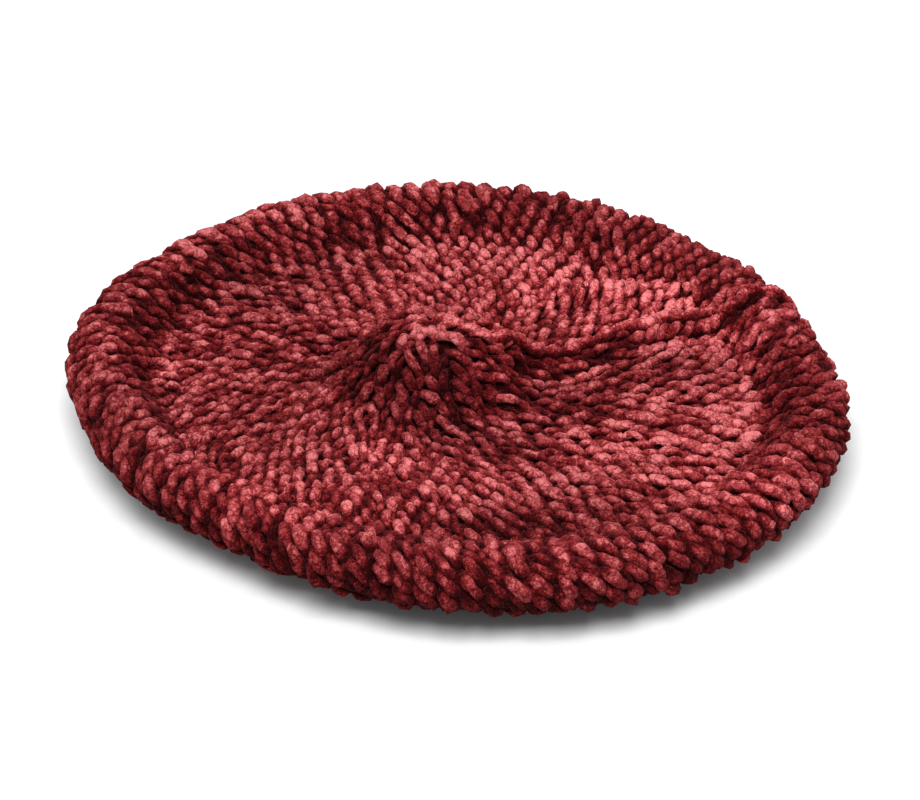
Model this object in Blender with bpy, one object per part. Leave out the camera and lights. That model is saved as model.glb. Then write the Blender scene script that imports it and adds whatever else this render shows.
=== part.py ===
"""Chunky chenille-knit beret, lying flat on its headband.

Frame: metres, +Z up. The origin is the centre of the head opening, on the plane
the headband rests on. +X is the wearer's right, -Y is the front.
From the headband up: rib headband, increase row, underside, crown top and a
gathered centre, with one side seam.
Profiles are lists of (radius, height) points, turned about Z.
"""
import math

import bmesh
import bpy
from mathutils import Vector

# ---------------------------------------------------------------- driving sizes
FABRIC = 0.0060                      # thickness of the knitted fabric
HALF_FABRIC = FABRIC / 2
STEPS = 48                           # facets round the beret

RIM_RADIUS = 0.1265                  # centre line of the rolled rim
RIM_ROLL = 0.0110                    # radius of the roll itself
RIM_Z = 0.0240                       # height of the rim's centre line
VALLEY_Z = 0.0230                    # height of the flat part of the crown

GATHER_RADIUS = 0.0030               # hole at the centre of the crown
KNOB_Z = 0.0455                      # height of the gathered knob
KNOB_SPREAD, KNOB_POWER = 0.0265, 2.6            # width and steepness of the knob
DIMPLE_DEPTH, DIMPLE_SPREAD = 0.0030, 0.0045
CLIMB_START, CLIMB_WIDTH = 0.101, 0.023          # rise from the valley to the rim

UNDER_INNER = 0.0880                 # inner edge of the underside
UNDER_OUTER = RIM_RADIUS - 0.0008
UNDER_Z = 0.0085                     # height of its lower face at the inner edge
UNDER_CLIMB_WIDTH = 0.041

BAND_LOW = Vector((0.0700, 0.0034))  # ends of the sloping headband's centre line,
BAND_HIGH = Vector((0.0800, 0.0105))     # as (radius, height)
BAND_WIDTH = (BAND_HIGH - BAND_LOW).length
BAND_ALONG = (BAND_HIGH - BAND_LOW).normalized()     # up the slope
BAND_OFF = Vector((-BAND_ALONG.y, BAND_ALONG.x))     # off the upper, inner face

SEAM_TUBE = 0.0017                   # radius of a seaming yarn pulled tight
SEAM_ANGLE = math.radians(17.0)      # where the side seam meets the rim
SEAM_BOW = math.radians(7.0)         # how far the seam bows round halfway in

# Softness: how the round beret is moved to where the soft one lies
KNOB_SHIFT = Vector((-0.0063, 0.0, 0.0))         # the centre slumps to the left
SLUMP_START, SLUMP_WIDTH = 0.015, 0.075          # radii over which the slump fades
RIM_SHIFT = Vector((0.00174, 0.00030, 0.0))      # the rim lies slightly off centre
SPREAD_START, SPREAD_WIDTH = 0.090, 0.032        # radii over which the rim's shape grows
# Slightly oval rim: (waves round the rim, cosine amplitude, sine amplitude)
RIM_WAVES = [
    (2, 0.0, -0.0064),
    (3, -0.0019, 0.0),
    (4, 0.0010, -0.0009),
]


# ---------------------------------------------------------------- curves and places
def ramp(value, start, width):
    """Smooth step from 0 at start to 1 at start + width."""
    t = min(1.0, max(0.0, (value - start) / width))
    return t * t * (3.0 - 2.0 * t)


def polar(radius, angle, z=0.0):
    return Vector((radius * math.cos(angle), radius * math.sin(angle), z))


def settle(radius, angle, z):
    """A point of the round beret moved to where the soft one lies."""
    spread = ramp(radius, SPREAD_START, SPREAD_WIDTH)
    slump = 1.0 - ramp(radius, SLUMP_START, SLUMP_WIDTH)
    outline = sum(cosine * math.cos(waves * angle) + sine * math.sin(waves * angle)
                  for waves, cosine, sine in RIM_WAVES)
    return polar(radius + outline * spread, angle, z) + KNOB_SHIFT * slump + RIM_SHIFT * spread


def settle_point(point):
    return settle(math.hypot(point.x, point.y), math.atan2(point.y, point.x), point.z)


def crown_height(radius):
    """Height of the outer face of the crown top, inside the rim's roll."""
    knob = (KNOB_Z - VALLEY_Z) * math.exp(-((radius / KNOB_SPREAD) ** KNOB_POWER))
    dimple = DIMPLE_DEPTH * math.exp(-((radius / DIMPLE_SPREAD) ** 2))
    climb = (RIM_Z + RIM_ROLL - VALLEY_Z) * ramp(radius, CLIMB_START, CLIMB_WIDTH)
    return VALLEY_Z + knob - dimple + climb


def underside_height(radius):
    """Height of the outer (lower) face of the underside."""
    rise = RIM_Z - RIM_ROLL - UNDER_Z
    return UNDER_Z + rise * ramp(radius, UNDER_INNER, UNDER_CLIMB_WIDTH)


def on_band(slope, off):
    """(radius, height) at a distance up the band's slope and off its centre line."""
    return tuple(BAND_LOW + BAND_ALONG * slope + BAND_OFF * off)


def band_point(slope, off, angle):
    radius, height = on_band(slope, off)
    return polar(radius, angle, height)


def seam_angle(radius):
    inward = min(1.0, max(0.0, radius / (RIM_RADIUS + RIM_ROLL)))
    return SEAM_ANGLE + SEAM_BOW * math.sin(math.pi * inward)


# ---------------------------------------------------------------- profiles
def ring_profile(radius, height, tube, sides=8):
    turns = [2 * math.pi * i / sides for i in range(sides)]
    return [(radius + tube * math.cos(turn), height + tube * math.sin(turn))
            for turn in turns]


def rim_arc(roll, start, end, count):
    """Arc about the rim's centre line, between two angles in degrees."""
    turns = [math.radians(start + (end - start) * i / count) for i in range(count + 1)]
    return [(RIM_RADIUS + roll * math.cos(turn), RIM_Z + roll * math.sin(turn))
            for turn in turns]


def offset(profile, distance):
    """The open profile moved sideways, to the left of its direction when positive."""
    moved = []
    for i, (radius, height) in enumerate(profile):
        before = profile[max(0, i - 1)]
        after = profile[min(len(profile) - 1, i + 1)]
        run, rise = after[0] - before[0], after[1] - before[1]
        length = math.hypot(run, rise)
        moved.append((radius - rise / length * distance,
                      height + run / length * distance))
    return moved


# ---------------------------------------------------------------- object builders
def clear_scene():
    for obj in list(bpy.data.objects):
        bpy.data.objects.remove(obj, do_unlink=True)


def material(name, colour, roughness):
    mat = bpy.data.materials.new(name)
    mat.use_nodes = True
    inputs = mat.node_tree.nodes["Principled BSDF"].inputs
    inputs["Base Color"].default_value = (*colour, 1.0)
    inputs["Roughness"].default_value = roughness
    return mat


def add_object(name, data, mat):
    data.materials.append(mat)
    obj = bpy.data.objects.new(name, data)
    bpy.context.scene.collection.objects.link(obj)
    return obj


def finish(name, shape, mat):
    """Turn a bmesh into a smooth object with its faces outward."""
    bmesh.ops.recalc_face_normals(shape, faces=shape.faces[:])
    if shape.calc_volume(signed=True) < 0:
        bmesh.ops.reverse_faces(shape, faces=shape.faces[:])
    mesh = bpy.data.meshes.new(name)
    shape.to_mesh(mesh)
    shape.free()
    mesh.shade_smooth()
    return add_object(name, mesh, mat)


def turned(name, profile, mat, steps=STEPS, move=None):
    """A closed profile spun round Z, then each point passed through move."""
    shape = bmesh.new()
    verts = [shape.verts.new((radius, 0.0, z)) for radius, z in profile]
    edges = [shape.edges.new((verts[i - 1], verts[i])) for i in range(1, len(verts))]
    edges.append(shape.edges.new((verts[-1], verts[0])))
    bmesh.ops.spin(
        shape,
        geom=verts + edges,
        cent=(0, 0, 0),
        axis=(0, 0, 1),
        angle=2 * math.pi,
        steps=steps,
        use_merge=True,
        use_duplicate=False,
    )
    if move:
        for vert in shape.verts:
            vert.co = move(vert.co)
    finish(name, shape, mat)


def cord(name, points, tube, mat):
    """A yarn following points, with closed ends."""
    curve = bpy.data.curves.new(name, "CURVE")
    curve.dimensions = "3D"
    curve.bevel_depth = tube
    curve.bevel_resolution = 2
    curve.use_fill_caps = True
    spline = curve.splines.new("POLY")
    spline.points.add(len(points) - 1)
    for spline_point, point in zip(spline.points, points):
        spline_point.co = (*point, 1.0)
    add_object(name, curve, mat)


# ---------------------------------------------------------------- crown and underside
CROWN_RADII = [
    GATHER_RADIUS, 0.0060, 0.0100, 0.0150, 0.0200, 0.0250, 0.0310, 0.0380,
    0.0470, 0.0600, 0.0800, 0.0980, 0.1050, 0.1100, 0.1150, 0.1200,
]
INNER_SPACING = 0.0025     # least radial step between points of the inner face
INNER_STOP = 0.006         # the inner face stops this far inside the rim's centre line
UNDER_RADII = [UNDER_OUTER, 0.1200, 0.1130, 0.1060, 0.0990, UNDER_INNER]


def build_crown_top(mat):
    top = [(radius, crown_height(radius)) for radius in CROWN_RADII]

    # The inner face drops points that the offset has crowded together.
    inner = []
    for radius, z in offset(top, -FABRIC):
        if radius > GATHER_RADIUS and (not inner or radius > inner[-1][0] + INNER_SPACING):
            inner.append((radius, z))
    inner = [point for point in inner if point[0] < RIM_RADIUS - INNER_STOP]
    inner[0] = (GATHER_RADIUS, inner[0][1])

    outer = top + rim_arc(RIM_ROLL, start=96, end=-88, count=9)
    inner += rim_arc(RIM_ROLL - FABRIC, start=100, end=-88, count=6)
    turned("crown_top", outer + inner[::-1], mat, move=settle_point)


def build_underside(mat):
    lower = [(radius, underside_height(radius)) for radius in UNDER_RADII]
    upper = [(radius, z + FABRIC) for radius, z in lower]
    upper[0] = (UNDER_OUTER, RIM_Z - RIM_ROLL + FABRIC)
    turned("crown_underside", lower + upper[::-1], mat, move=settle_point)


def build_increase_row(mat):
    profile = ring_profile(radius=0.0840, height=0.0115, tube=0.0025)
    turned("increase_row", profile, mat, move=settle_point)


# ---------------------------------------------------------------- headband
BAND_CHAMFER_ALONG, BAND_CHAMFER_OFF = 0.0012, 0.0014
GROOVE_AT = BAND_WIDTH * 0.45        # groove's middle, up the slope
GROOVE_HALF, GROOVE_DEPTH = 0.0015, 0.0030
ELASTIC_TUBE = 0.0010
CAST_RADIUS, CAST_Z, CAST_TUBE = 0.0664, 0.0020, 0.0026


def build_headband(mat):
    """Sloping band with chamfered edges and a groove in its upper, inner face."""
    edge = HALF_FABRIC - BAND_CHAMFER_OFF
    upper_chamfer = BAND_WIDTH - BAND_CHAMFER_ALONG
    groove_floor = HALF_FABRIC - GROOVE_DEPTH
    section = [                      # (distance up the slope, distance off it)
        (0.0, edge),
        (0.0, -edge),
        (BAND_CHAMFER_ALONG, -HALF_FABRIC),
        (upper_chamfer, -HALF_FABRIC),
        (BAND_WIDTH, -edge),
        (BAND_WIDTH, edge),
        (upper_chamfer, HALF_FABRIC),
        (GROOVE_AT + GROOVE_HALF, HALF_FABRIC),
        (GROOVE_AT + GROOVE_HALF, groove_floor),
        (GROOVE_AT - GROOVE_HALF, groove_floor),
        (GROOVE_AT - GROOVE_HALF, HALF_FABRIC),
        (BAND_CHAMFER_ALONG, HALF_FABRIC),
    ]
    turned("headband", [on_band(*point) for point in section], mat)


def build_elastic(mat):
    radius, height = on_band(GROOVE_AT, HALF_FABRIC - GROOVE_DEPTH / 2)
    turned("band_elastic", ring_profile(radius, height, ELASTIC_TUBE, sides=6), mat)


def build_cast_on_edge(mat):
    """Ring flattened where it rests on the ground, without points inside the flat."""
    ring = [(radius, max(0.0, z))
            for radius, z in ring_profile(CAST_RADIUS, CAST_Z, CAST_TUBE, sides=12)]
    profile = []
    for i, point in enumerate(ring):
        neighbours = (ring[i - 1], point, ring[(i + 1) % len(ring)])
        if any(z != 0.0 for _, z in neighbours):
            profile.append(point)
    turned("cast_on_edge", profile, mat)


# ---------------------------------------------------------------- gathered centre
GATHER_LIFT, GATHER_TUBE = 0.0022, 0.0016
KNOT_Z, KNOT_RADIUS, KNOT_SQUASH = 0.0325, 0.0042, 0.8
TAIL_TOP = KNOB_SHIFT + Vector((0, 0, KNOT_Z - KNOT_RADIUS * KNOT_SQUASH - 0.0010))
TAIL_PATH = [                        # (x, y, z) from the top of the tail
    (0.0, 0.0, 0.0),
    (0.0006, 0.0, -0.004),
    (0.0016, 0.0005, -0.008),
    (0.0018, 0.0012, -0.0125),
]


def build_gathered_centre(mat):
    """Yarn ring round the hole, with its knot and tail below inside the beret."""
    height = crown_height(GATHER_RADIUS) + GATHER_LIFT
    turned("gather_yarn", ring_profile(GATHER_RADIUS, height, GATHER_TUBE), mat,
           steps=20, move=lambda point: point + KNOB_SHIFT)

    knot = bmesh.new()
    bmesh.ops.create_uvsphere(knot, u_segments=12, v_segments=8, radius=KNOT_RADIUS)
    for vert in knot.verts:
        x, y, z = vert.co
        vert.co = Vector((x, y, z * KNOT_SQUASH + KNOT_Z)) + KNOB_SHIFT
    finish("gather_knot", knot, mat)

    cord("gather_tail", [TAIL_TOP + Vector(step) for step in TAIL_PATH], 0.0015, mat)


# ---------------------------------------------------------------- side seam yarns
CROWN_SEAM_LIFT = SEAM_TUBE + 0.0010
UNDER_SEAM_DROP = SEAM_TUBE + 0.0006
CROWN_SEAM_RADII = [
    0.0170, 0.0220, 0.0280, 0.0350, 0.0430, 0.0540, 0.0680,
    0.0820, 0.0940, 0.1030, 0.1090, 0.1150, 0.1200,
]
UNDER_SEAM_RADII = [0.1240, 0.1180, 0.1120, 0.1060, 0.1000, 0.0940]
BAND_SEAM_SLOPES = [0.0006, 0.0060, 0.0115]
BAND_SEAM_OFF, BAND_SEAM_TUBE = HALF_FABRIC + 0.0016, 0.0012
CAST_TAIL_ANGLE = SEAM_ANGLE + math.radians(3.5)
CAST_TAIL_OFF, CAST_TAIL_TUBE = HALF_FABRIC + 0.0015, 0.0011
# (distance up the band, drift round it in radians)
CAST_TAIL_PATH = [(0.0002, 0.00), (0.0034, 0.02), (0.0070, 0.05)]


def build_seams(mat):
    line = [(radius, crown_height(radius)) for radius in CROWN_SEAM_RADII]
    line += rim_arc(RIM_ROLL, start=88, end=0, count=5)
    crown = [settle(radius, seam_angle(radius), z)
             for radius, z in offset(line, CROWN_SEAM_LIFT)]
    cord("crown_seam_yarn", crown, SEAM_TUBE, mat)

    under = [settle(radius, SEAM_ANGLE, underside_height(radius) - UNDER_SEAM_DROP)
             for radius in UNDER_SEAM_RADII]
    cord("underside_seam_yarn", under, SEAM_TUBE, mat)

    band = [band_point(slope, BAND_SEAM_OFF, SEAM_ANGLE) for slope in BAND_SEAM_SLOPES]
    cord("band_seam_yarn", band, BAND_SEAM_TUBE, mat)

    tail = [band_point(slope, CAST_TAIL_OFF, CAST_TAIL_ANGLE + drift)
            for slope, drift in CAST_TAIL_PATH]
    cord("cast_on_tail", tail, CAST_TAIL_TUBE, mat)


# ---------------------------------------------------------------- label
LABEL_WIDTH, LABEL_LENGTH, LABEL_THICK = 0.022, 0.0130, 0.0014
LABEL_PLY = 0.0005                   # thickness of one layer
LABEL_FOLD = 0.0010                  # thickness at the folded end
LABEL_CHAMFER = 0.0004
LABEL_ANGLE = math.radians(90.0)     # at the back

TACK_SIZE = (0.0012, 0.0032, 0.0012)     # across, down and off the band
TACK_OUT, TACK_DOWN = 0.0012, 0.0014     # beyond the label's side, below its upper edge

# Directions at the label: round the band, down its inner face, and off that face
OUTWARD = polar(1.0, LABEL_ANGLE)
ACROSS = polar(1.0, LABEL_ANGLE + math.pi / 2)
DOWN = -(OUTWARD * BAND_ALONG.x + Vector((0, 0, BAND_ALONG.y)))
FACE_UP = OUTWARD * BAND_OFF.x + Vector((0, 0, BAND_OFF.y))
HINGE = band_point(BAND_WIDTH - 0.0008, HALF_FABRIC + 0.0021, LABEL_ANGLE)


def at_label(across, down, off):
    """A point measured from the middle of the label's upper edge."""
    return HINGE + ACROSS * across + DOWN * down + FACE_UP * off


def build_label(mat):
    """A folded woven loop, along the upper edge of the band's inner face."""
    hollow_end = LABEL_LENGTH - LABEL_FOLD
    chamfer_start = LABEL_LENGTH - LABEL_CHAMFER
    side = [                         # (distance down, distance through the thickness)
        (0.0, 0.0),
        (chamfer_start, 0.0),
        (LABEL_LENGTH, LABEL_CHAMFER),
        (LABEL_LENGTH, LABEL_THICK - LABEL_CHAMFER),
        (chamfer_start, LABEL_THICK),
        (0.0, LABEL_THICK),
        (0.0, LABEL_THICK - LABEL_PLY),
        (hollow_end, LABEL_THICK - LABEL_PLY),
        (hollow_end, LABEL_PLY),
        (0.0, LABEL_PLY),
    ]
    shape = bmesh.new()
    face = shape.faces.new([
        shape.verts.new(at_label(-LABEL_WIDTH / 2, down, through - LABEL_THICK / 2))
        for down, through in side
    ])
    made = bmesh.ops.extrude_face_region(shape, geom=[face])["geom"]
    bmesh.ops.translate(shape, vec=ACROSS * LABEL_WIDTH,
                        verts=[part for part in made if isinstance(part, bmesh.types.BMVert)])
    finish("label", shape, mat)


def build_label_tack(name, way, mat):
    """A stitch beside the label, toward -X when way is 1 and +X when it is -1."""
    shape = bmesh.new()
    bmesh.ops.create_cube(shape, size=1.0)
    for vert in shape.verts:
        across, down, off = (place * size for place, size in zip(vert.co, TACK_SIZE))
        vert.co = at_label(way * (LABEL_WIDTH / 2 + TACK_OUT) + across, TACK_DOWN + down, off)
    bevel = finish(name, shape, mat).modifiers.new("Bevel", "BEVEL")
    bevel.width = 0.00025
    bevel.segments = 1


# ---------------------------------------------------------------- build
clear_scene()
chenille = material("chenille_yarn", colour=(0.31, 0.045, 0.052), roughness=0.95)
rib = material("rib_yarn", colour=(0.27, 0.038, 0.045), roughness=0.95)
seam = material("seam_yarn", colour=(0.24, 0.032, 0.040), roughness=0.95)
elastic = material("elastic_cord", colour=(0.16, 0.020, 0.028), roughness=0.6)
woven = material("woven_label", colour=(0.62, 0.57, 0.52), roughness=0.55)
thread = material("label_thread", colour=(0.20, 0.03, 0.04), roughness=0.6)

build_crown_top(chenille)
build_underside(chenille)
build_increase_row(chenille)
build_headband(rib)
build_elastic(elastic)
build_cast_on_edge(rib)
build_gathered_centre(seam)
build_seams(seam)
build_label(woven)
build_label_tack("label_tack_left", -1, thread)
build_label_tack("label_tack_right", 1, thread)
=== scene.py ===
"""A knitted chenille beret, lying on the floor: every row of the fabric is a mesh of yarn loops.

The beret stands on its open edge at z = 0 with its axis on +Z, in metres. The front is -Y and
the right is +X. The fabric is one sheet described by a meridian: from the cast-on edge, up the
headband, out along the underside, round the rolled rim and in over the crown to the gathered
centre. A point on the sheet is (s, phi): the distance along the meridian, and the angle round
the axis. Each course is a closed yarn laid on the sheet in stockinette or rib loops.
"""
import itertools
import math

import bmesh
import bpy
import numpy as np
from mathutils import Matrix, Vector


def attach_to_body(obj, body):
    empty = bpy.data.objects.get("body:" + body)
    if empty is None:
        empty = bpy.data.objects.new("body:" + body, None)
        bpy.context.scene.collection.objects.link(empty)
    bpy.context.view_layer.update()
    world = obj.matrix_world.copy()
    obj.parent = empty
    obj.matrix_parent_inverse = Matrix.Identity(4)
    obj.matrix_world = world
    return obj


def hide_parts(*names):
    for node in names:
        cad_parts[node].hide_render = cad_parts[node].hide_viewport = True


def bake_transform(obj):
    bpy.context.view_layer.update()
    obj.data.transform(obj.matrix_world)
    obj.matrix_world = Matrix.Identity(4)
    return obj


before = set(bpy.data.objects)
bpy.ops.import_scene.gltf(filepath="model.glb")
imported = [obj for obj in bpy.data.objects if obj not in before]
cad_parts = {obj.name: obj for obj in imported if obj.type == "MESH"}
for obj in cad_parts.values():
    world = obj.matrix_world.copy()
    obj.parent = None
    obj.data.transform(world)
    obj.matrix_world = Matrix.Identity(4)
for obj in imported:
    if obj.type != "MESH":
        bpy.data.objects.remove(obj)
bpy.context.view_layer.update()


# ------------------------------------------------------------------ sizes
HALF = 0.0030                         # half the fabric's thickness
RIM_R, RIM_ROLL, RIM_Z = 0.1265, 0.0110, 0.0240  # the rolled rim's centre radius, section, height
RIM_SHIFT = (0.00174, 0.00030)        # the rim's offset from the axis
SHIFT_X = -0.0063                     # the crown's middle has slumped along X
DRIFT = (-0.0012, 0.0016)             # and its gathered centre has drifted further
VALLEY_Z, KNOB_Z = 0.0230, 0.0455     # the crown's low ring and its central knob
UNDER_Z = 0.0085
CAST = (0.0664, 0.0030)               # (radius, height) of the cast-on edge
BAND_LOW, BAND_HIGH = (0.0700, 0.0034), (0.0800, 0.0105)
YARN = 0.00178                        # radius of the chenille yarn
SECTORS = 8
SEAM_ANGLE = math.radians(17.0)       # every course starts here, and the seam runs here below
RIM_STITCHES = 14                     # stitches in each sector at the rim
BAND_STITCHES = 70
COURSE = 0.0047                       # spacing of the courses along the meridian
MESH_TRIANGLES = 195000               # limit for one crown mesh

SIDES, STEPS = ((10, 28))  # round the yarn, and along each stitch
LOW_SIDES = 7    # the same for the underside and headband
LOW_STEPS = max(16, STEPS - 4)
BACKING_SIDES = 6

# Dents and bulges of the rim: angle in degrees, growth in radius, angular spread in degrees.
RIM_DENTS = ((-143, 0.0024, 11), (140, -0.0011, 18), (31, 0.0018, 8),
             (52, -0.0010, 9), (4, -0.0014, 9), (-14, 0.0006, 8))

# Folds of the crown: path of (x, y), height, width.
FOLDS = (
    ([(0.038, 0.068), (0.064, 0.065), (0.091, 0.057)], 0.0034, 0.0042),
    ([(-0.066, 0.036), (-0.040, 0.040), (-0.008, 0.033)], 0.0030, 0.0055),
    ([(0.030, -0.012), (0.055, -0.022), (0.092, -0.032)], 0.0024, 0.0060))

# Swells and hollows of the crown: x, y, height, spread in x, spread in y, turn.
SWELLS = (
    (-0.008, 0.080, -0.0040, 0.0060, 0.0040, 0.0), (0.007, -0.080, 0.0035, 0.034, 0.013, 0.0),
    (-0.070, -0.012, -0.0022, 0.026, 0.030, 0.0), (0.062, -0.060, 0.0016, 0.022, 0.014, -0.6),
    (0.030, 0.048, -0.0018, 0.016, 0.008, 0.3), (0.0135, -0.0110, 0.0050, 0.0125, 0.0110, 0.0))

# The side seam over the crown: (x, y) from the knob to the rim.
SEAM_PATH = [(0.002, -0.003), (0.018, 0.001), (0.034, 0.008), (0.053, 0.022),
             (0.068, 0.033), (0.090, 0.039), (0.113, 0.042), (0.131, 0.042)]

# Patches painted lighter or darker, painted light and shade among them, such as the shade behind
# the front crest: x, y, gain, spread in x, spread in y.
LIGHT_AND_SHADE_PATCHES = (
    (0.070, 0.052, 0.45, 0.032, 0.020), (0.080, 0.012, -0.58, 0.024, 0.011),
    (0.038, -0.015, -0.56, 0.016, 0.013), (0.010, -0.042, -0.46, 0.020, 0.011),
    (0.036, 0.043, -0.34, 0.013, 0.009), (-0.070, 0.063, -0.34, 0.024, 0.014),
    (-0.045, 0.010, -0.34, 0.018, 0.018), (0.024, 0.010, 0.50, 0.018, 0.009),
    (-0.024, -0.012, -0.40, 0.014, 0.008), (0.062, 0.036, 0.22, 0.016, 0.006),
    (0.108, 0.034, 0.50, 0.012, 0.020), (-0.060, -0.030, -0.18, 0.026, 0.020),
    (0.030, -0.097, -0.56, 0.036, 0.010), (-0.052, -0.095, 0.60, 0.022, 0.011),
    (0.054, -0.074, -0.30, 0.018, 0.012), (-0.040, 0.094, -0.26, 0.012, 0.012),
    (-0.008, -0.027, -0.40, 0.018, 0.009), (-0.112, 0.012, 0.40, 0.010, 0.012),
    (-0.101, 0.066, 0.46, 0.012, 0.010), (-0.022, 0.068, 0.34, 0.014, 0.010),
    (0.036, 0.072, 0.34, 0.012, 0.009), (-0.075, -0.068, 0.28, 0.012, 0.010),
    (-0.021, -0.060, 0.26, 0.014, 0.015), (0.108, 0.070, -0.34, 0.012, 0.012),
    (0.075, 0.095, -0.24, 0.014, 0.010), (0.050, -0.042, 0.18, 0.022, 0.010),
    (0.018, -0.018, 0.46, 0.010, 0.009), (0.024, 0.000, 0.28, 0.012, 0.007),
    (-0.041, -0.016, 0.22, 0.010, 0.010), (-0.038, 0.009, -0.20, 0.008, 0.008),
    (0.096, -0.080, 0.30, 0.016, 0.016), (-0.046, -0.097, 0.22, 0.018, 0.010),
    (-0.086, -0.098, 0.26, 0.014, 0.012), (0.056, 0.125, -0.24, 0.014, 0.010),
    (0.004, 0.098, 0.24, 0.018, 0.009), (0.045, 0.070, 0.18, 0.020, 0.012),
    (0.016, 0.042, 0.32, 0.011, 0.010), (-0.042, 0.043, 0.20, 0.012, 0.010),
    (0.055, 0.043, 0.18, 0.010, 0.008), (0.112, 0.015, 0.20, 0.012, 0.012),
    (-0.082, 0.070, -0.30, 0.012, 0.009), (0.034, -0.012, -0.34, 0.008, 0.008),
    (0.058, 0.072, 0.24, 0.026, 0.012), (0.030, 0.009, 0.26, 0.010, 0.006),
    (-0.116, 0.014, 0.26, 0.009, 0.010), (-0.021, -0.043, 0.24, 0.009, 0.009),
    (0.112, 0.072, -0.24, 0.010, 0.010), (0.134, 0.036, -0.26, 0.008, 0.016),
    (0.130, -0.048, -0.26, 0.009, 0.016), (-0.072, -0.104, -0.22, 0.010, 0.008),
    (0.016, -0.045, -0.18, 0.010, 0.008), (-0.006, -0.026, -0.16, 0.010, 0.008),
    (-0.038, 0.006, -0.22, 0.010, 0.008), (0.092, 0.012, -0.18, 0.012, 0.008),
    (0.098, -0.092, 0.22, 0.016, 0.012), (-0.048, -0.100, 0.16, 0.016, 0.010))


# ------------------------------------------------------------------ numeric helpers
def rise(value, start, width):
    """Smooth step from 0 at start to 1 at start + width."""
    t = np.clip((value - start) / width, 0.0, 1.0)
    return t * t * (3.0 - 2.0 * t)


def fall(value, end, width):
    """Smooth step from 1 at end - width to 0 at end."""
    return rise(-value, -end, width)


def gauss(u):
    return np.exp(-0.5 * u**2)


def unit(vectors):
    return vectors / np.maximum(np.linalg.norm(vectors, axis=1), 1e-12)[:, None]


def arc_length(points):
    return np.concatenate([[0], np.cumsum(np.linalg.norm(np.diff(points, axis=0), axis=1))])


def resample(wanted, along, points):
    """Points interpolated at the wanted distances."""
    return np.stack([np.interp(wanted, along, column) for column in points.T], 1)


def convolve(padded, kernel):
    return np.stack([np.convolve(column, kernel, "valid") for column in padded.T], 1)


def polar(radius, angle, height):
    return np.stack([radius * np.cos(angle), radius * np.sin(angle), height], 1)


def circle(count):
    return np.linspace(0, 2 * math.pi, count, endpoint=False)


def value_noise(points, scale, seed):
    """Smooth value noise in -1..1 at points (N, 3), from a hash of the cell corners."""
    cell = points / scale
    corner = np.floor(cell).astype(np.int64)
    f = cell - corner
    f = f * f * (3.0 - 2.0 * f)
    total = np.zeros(len(points))
    for dx, dy, dz in itertools.product((0, 1), repeat=3):
        h = ((corner[:, 0] + dx) * 73856093) ^ ((corner[:, 1] + dy) * 19349663)
        h = (h ^ ((corner[:, 2] + dz) * 83492791) ^ (seed * 2654435761)) & 0xFFFFFFFF
        h = ((h ^ (h >> 15)) * 2246822519) & 0xFFFFFFFF
        h = ((h ^ (h >> 13)) * 3266489917) & 0xFFFFFFFF
        h = h ^ (h >> 16)
        weight = np.where(dx, f[:, 0], 1 - f[:, 0])
        weight = weight * np.where(dy, f[:, 1], 1 - f[:, 1])
        weight = weight * np.where(dz, f[:, 2], 1 - f[:, 2])
        total += (h / 2147483648.0 - 1.0) * weight
    return total


def vector_noise(points, scale, seed):
    return np.stack([value_noise(points, scale, seed + k) for k in range(3)], 1)


# ------------------------------------------------------------------ the fabric's shape
def top_height(r):
    knob = (KNOB_Z - VALLEY_Z) * np.exp(-((r / 0.0285) ** 3.4))
    tip = 0.0022 * np.exp(-((r / 0.0065) ** 2))
    climb = (RIM_Z + RIM_ROLL - VALLEY_Z) * rise(r, 0.101, 0.023)
    return VALLEY_Z + knob + tip + climb


def underside_height(r):
    return UNDER_Z + (RIM_Z - RIM_ROLL - UNDER_Z) * rise(r, 0.088, 0.041)


def rim_share(r):
    """0..1: how far a point at radius r follows the rim's outline and offset."""
    return rise(r, 0.090, 0.032)


def build_meridian():
    """Distances and (radius, height) points along the middle of the fabric."""
    points = [CAST, BAND_LOW, BAND_HIGH, (0.0840, 0.0118)]
    points += [(r, underside_height(r) + HALF) for r in np.linspace(0.0885, 0.1230, 12)]
    for turn in np.radians(np.linspace(-88, 92, 24)):
        points.append((RIM_R + (RIM_ROLL - HALF) * math.cos(turn),
                       RIM_Z + (RIM_ROLL - HALF) * math.sin(turn)))
    # the crown: its outer surface moved in by half the thickness
    radius = np.linspace(0.121, 0.0, 300)
    height = top_height(radius)
    slope = np.gradient(height, radius)
    normal = unit(np.stack([-slope, np.ones_like(slope)], 1))
    crown = np.stack([radius, height], 1) - normal * HALF
    last = 1.0
    for r, z in crown[crown[:, 0] < 0.1225]:
        if 0.0 <= r < last:
            points.append((r, z))
            last = r
    points.append((0.0, points[-1][1]))
    points = np.array(points)
    # even steps, then rounded corners
    along = arc_length(points)
    points = resample(np.linspace(0, along[-1], 2400), along, points)
    kernel = gauss(np.arange(-24, 25) / 9.0)
    kernel /= kernel.sum()
    points = convolve(np.pad(points, ((24, 24), (0, 0)), "edge"), kernel)
    return arc_length(points), points


MERIDIAN_S, MERIDIAN = build_meridian()
LENGTH = MERIDIAN_S[-1]
CREST_S = MERIDIAN_S[np.argmax(np.where(MERIDIAN[:, 0] > 0.10, MERIDIAN[:, 1], 0))]
OUTER_S = MERIDIAN_S[np.argmax(MERIDIAN[:, 0])]
BAND_S = math.dist(CAST, BAND_LOW) + math.dist(BAND_LOW, BAND_HIGH)


def radius_at(s):
    return np.interp(s, MERIDIAN_S, MERIDIAN[:, 0])


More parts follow.
